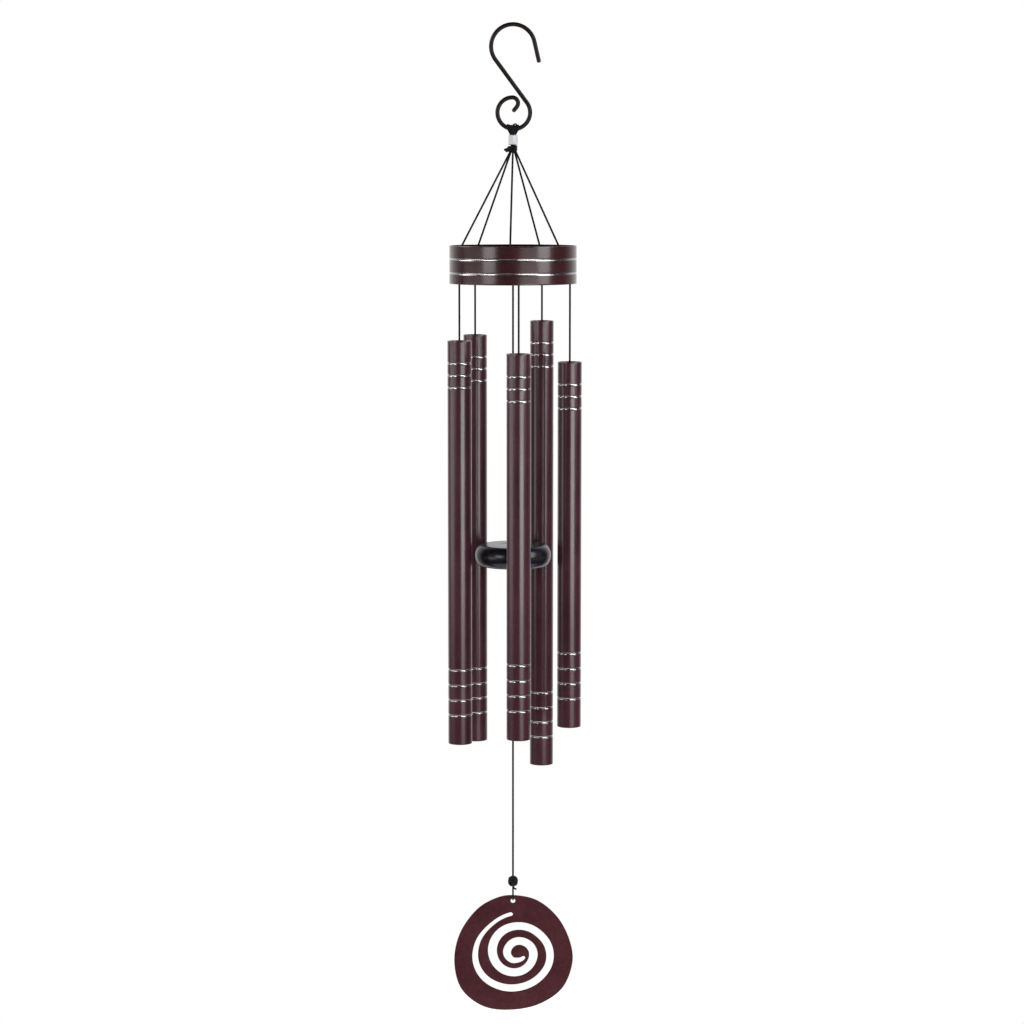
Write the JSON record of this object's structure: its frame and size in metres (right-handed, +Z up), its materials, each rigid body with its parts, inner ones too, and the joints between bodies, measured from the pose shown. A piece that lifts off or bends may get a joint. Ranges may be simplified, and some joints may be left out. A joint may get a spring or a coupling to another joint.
{
  "type": "hanging wind chime",
  "caption": "Wind chime: grooved dark tubes and a round striker hung by cords from a hoop, with an S-hook above and a flat spiral-cut sail below.",
  "frame": {"origin": "the highest point inside the S-hook's bend, where the chime hangs on its branch or bracket", "axes": "+Z up along the centre cord; the hook and the sail lie in the XZ plane; -Y is the front, on the side of tube_1, and +X is to the right of someone who looks at the front"},
  "size_m": [0.1418, 0.1412, 1.0629],
  "materials": {
    "hook_steel": "gloss",
    "coated_aluminium": "gloss",
    "black_cord": "matte",
    "white_sleeve": "satin",
    "lacquered_wood": "gloss",
    "dark_board": "matte",
    "pin_steel": "satin"
  },
  "bodies": {
    "hook": {"s_hook": "hook_steel"},
    "lashing": {"hanging_loop": "black_cord"},
    "neck": {"neck_bundle": "black_cord", "neck_sleeve": "white_sleeve"},
    "head": {"gathering_knot": "black_cord", "fan_cord_1": "black_cord", "fan_cord_2": "black_cord", "fan_cord_3": "black_cord", "fan_cord_4": "black_cord", "fan_cord_5": "black_cord", "fan_knot_1": "black_cord", "fan_knot_2": "black_cord", "fan_knot_3": "black_cord", "fan_knot_4": "black_cord", "fan_knot_5": "black_cord", "top_hoop": "coated_aluminium", "support_plate": "dark_board"},
    "tube_hanger_1": {"stop_knot_1": "black_cord"},
    "tube_line_1": {"tube_cord_1": "black_cord", "pin_loop_1": "black_cord"},
    "tube_body_1": {"tube_1": "coated_aluminium", "tube_pin_1": "pin_steel"},
    "tube_hanger_2": {"stop_knot_2": "black_cord"},
    "tube_line_2": {"tube_cord_2": "black_cord", "pin_loop_2": "black_cord"},
    "tube_body_2": {"tube_2": "coated_aluminium", "tube_pin_2": "pin_steel"},
    "tube_hanger_3": {"stop_knot_3": "black_cord"},
    "tube_line_3": {"tube_cord_3": "black_cord", "pin_loop_3": "black_cord"},
    "tube_body_3": {"tube_3": "coated_aluminium", "tube_pin_3": "pin_steel"},
    "tube_hanger_4": {"stop_knot_4": "black_cord"},
    "tube_line_4": {"tube_cord_4": "black_cord", "pin_loop_4": "black_cord"},
    "tube_body_4": {"tube_4": "coated_aluminium", "tube_pin_4": "pin_steel"},
    "tube_hanger_5": {"stop_knot_5": "black_cord"},
    "tube_line_5": {"tube_cord_5": "black_cord", "pin_loop_5": "black_cord"},
    "tube_body_5": {"tube_5": "coated_aluminium", "tube_pin_5": "pin_steel"},
    "striker_hanger": {"centre_stop_knot": "black_cord"},
    "striker_line": {"centre_cord": "black_cord", "striker": "lacquered_wood"},
    "sail_hanger": {"striker_knot": "black_cord"},
    "sail_line": {"sail_cord": "black_cord", "ball_knot": "black_cord"},
    "sail_ring": {"sail_loop": "black_cord"},
    "sail_plate": {"sail": "coated_aluminium"}
  },
  "joints": [
    {"name": "hook_sway_y", "type": "hinge", "parent": "hook", "child": "lashing", "pos_m": [0, 0, -0.1066], "axis": [1, 0, 0], "range_deg": [-10, 10]},
    {"name": "neck_sway_x", "type": "hinge", "parent": "lashing", "child": "neck", "pos_m": [0, 0, -0.112], "axis": [0, -1, 0], "range_deg": [-10, 10]},
    {"name": "head_twist", "type": "hinge", "parent": "neck", "child": "head", "pos_m": [0, 0, -0.1271], "axis": [0, 0, 1], "range_deg": [-90, 90]},
    {"name": "tube_1_swing_x", "type": "hinge", "parent": "head", "child": "tube_hanger_1", "pos_m": [0.00589, -0.06122, -0.2435], "axis": [0, -1, 0], "range_deg": [-5, 5]},
    {"name": "tube_1_swing_y", "type": "hinge", "parent": "tube_hanger_1", "child": "tube_line_1", "pos_m": [0.00589, -0.06122, -0.2435], "axis": [1, 0, 0], "range_deg": [-5, 1.3]},
    {"name": "tube_1_rock", "type": "hinge", "parent": "tube_line_1", "child": "tube_body_1", "pos_m": [0.00589, -0.06122, -0.43065], "axis": [1, 0, 0], "range_deg": [-5, 3]},
    {"name": "tube_2_swing_x", "type": "hinge", "parent": "head", "child": "tube_hanger_2", "pos_m": [0.06004, -0.01331, -0.2435], "axis": [0, -1, 0], "range_deg": [-1.3, 5]},
    {"name": "tube_2_swing_y", "type": "hinge", "parent": "tube_hanger_2", "child": "tube_line_2", "pos_m": [0.06004, -0.01331, -0.2435], "axis": [1, 0, 0], "range_deg": [-5, 5]},
    {"name": "tube_2_rock", "type": "hinge", "parent": "tube_line_2", "child": "tube_body_2", "pos_m": [0.06004, -0.01331, -0.43826], "axis": [1, 0, 0], "range_deg": [-5, 5]},
    {"name": "tube_3_swing_x", "type": "hinge", "parent": "head", "child": "tube_hanger_3", "pos_m": [0.03121, 0.05299, -0.2435], "axis": [0, -1, 0], "range_deg": [-1.6, 3.8]},
    {"name": "tube_3_swing_y", "type": "hinge", "parent": "tube_hanger_3", "child": "tube_line_3", "pos_m": [0.03121, 0.05299, -0.2435], "axis": [1, 0, 0], "range_deg": [-1.6, 3.8]},
    {"name": "tube_3_rock", "type": "hinge", "parent": "tube_line_3", "child": "tube_body_3", "pos_m": [0.03121, 0.05299, -0.41916], "axis": [1, 0, 0], "range_deg": [-2, 5]},
    {"name": "tube_4_swing_x", "type": "hinge", "parent": "head", "child": "tube_hanger_4", "pos_m": [-0.04075, 0.04606, -0.2435], "axis": [0, -1, 0], "range_deg": [-5, 2.2]},
    {"name": "tube_4_swing_y", "type": "hinge", "parent": "tube_hanger_4", "child": "tube_line_4", "pos_m": [-0.04075, 0.04606, -0.2435], "axis": [1, 0, 0], "range_deg": [-1.8, 5]},
    {"name": "tube_4_rock", "type": "hinge", "parent": "tube_line_4", "child": "tube_body_4", "pos_m": [-0.04075, 0.04606, -0.42432], "axis": [1, 0, 0], "range_deg": [-3, 5]},
    {"name": "tube_5_swing_x", "type": "hinge", "parent": "head", "child": "tube_hanger_5", "pos_m": [-0.0564, -0.02452, -0.2435], "axis": [0, -1, 0], "range_deg": [-4.3, 1.4]},
    {"name": "tube_5_swing_y", "type": "hinge", "parent": "tube_hanger_5", "child": "tube_line_5", "pos_m": [-0.0564, -0.02452, -0.2435], "axis": [1, 0, 0], "range_deg": [-4.3, 5]},
    {"name": "tube_5_rock", "type": "hinge", "parent": "tube_line_5", "child": "tube_body_5", "pos_m": [-0.0564, -0.02452, -0.42421], "axis": [1, 0, 0], "range_deg": [-5, 5]},
    {"name": "striker_swing_x", "type": "hinge", "parent": "head", "child": "striker_hanger", "pos_m": [0, 0, -0.2435], "axis": [0, -1, 0], "range_deg": [-1.3, 1.3]},
    {"name": "striker_swing_y", "type": "hinge", "parent": "striker_hanger", "child": "striker_line", "pos_m": [0, 0, -0.2435], "axis": [1, 0, 0], "range_deg": [-1.3, 1.3]},
    {"name": "sail_swing_x", "type": "hinge", "parent": "striker_line", "child": "sail_hanger", "pos_m": [0, 0, -0.5733], "axis": [0, -1, 0], "range_deg": [-8, 8]},
    {"name": "sail_swing_y", "type": "hinge", "parent": "sail_hanger", "child": "sail_line", "pos_m": [0, 0, -0.5733], "axis": [1, 0, 0], "range_deg": [-8, 8]},
    {"name": "sail_twist", "type": "hinge", "parent": "sail_line", "child": "sail_ring", "pos_m": [0, 0, -0.929], "axis": [0, 0, 1], "range_deg": [-90, 90]},
    {"name": "sail_rock", "type": "hinge", "parent": "sail_ring", "child": "sail_plate", "pos_m": [0, 0, -0.937], "axis": [0, -1, 0], "range_deg": [-15, 15]}
  ]
}
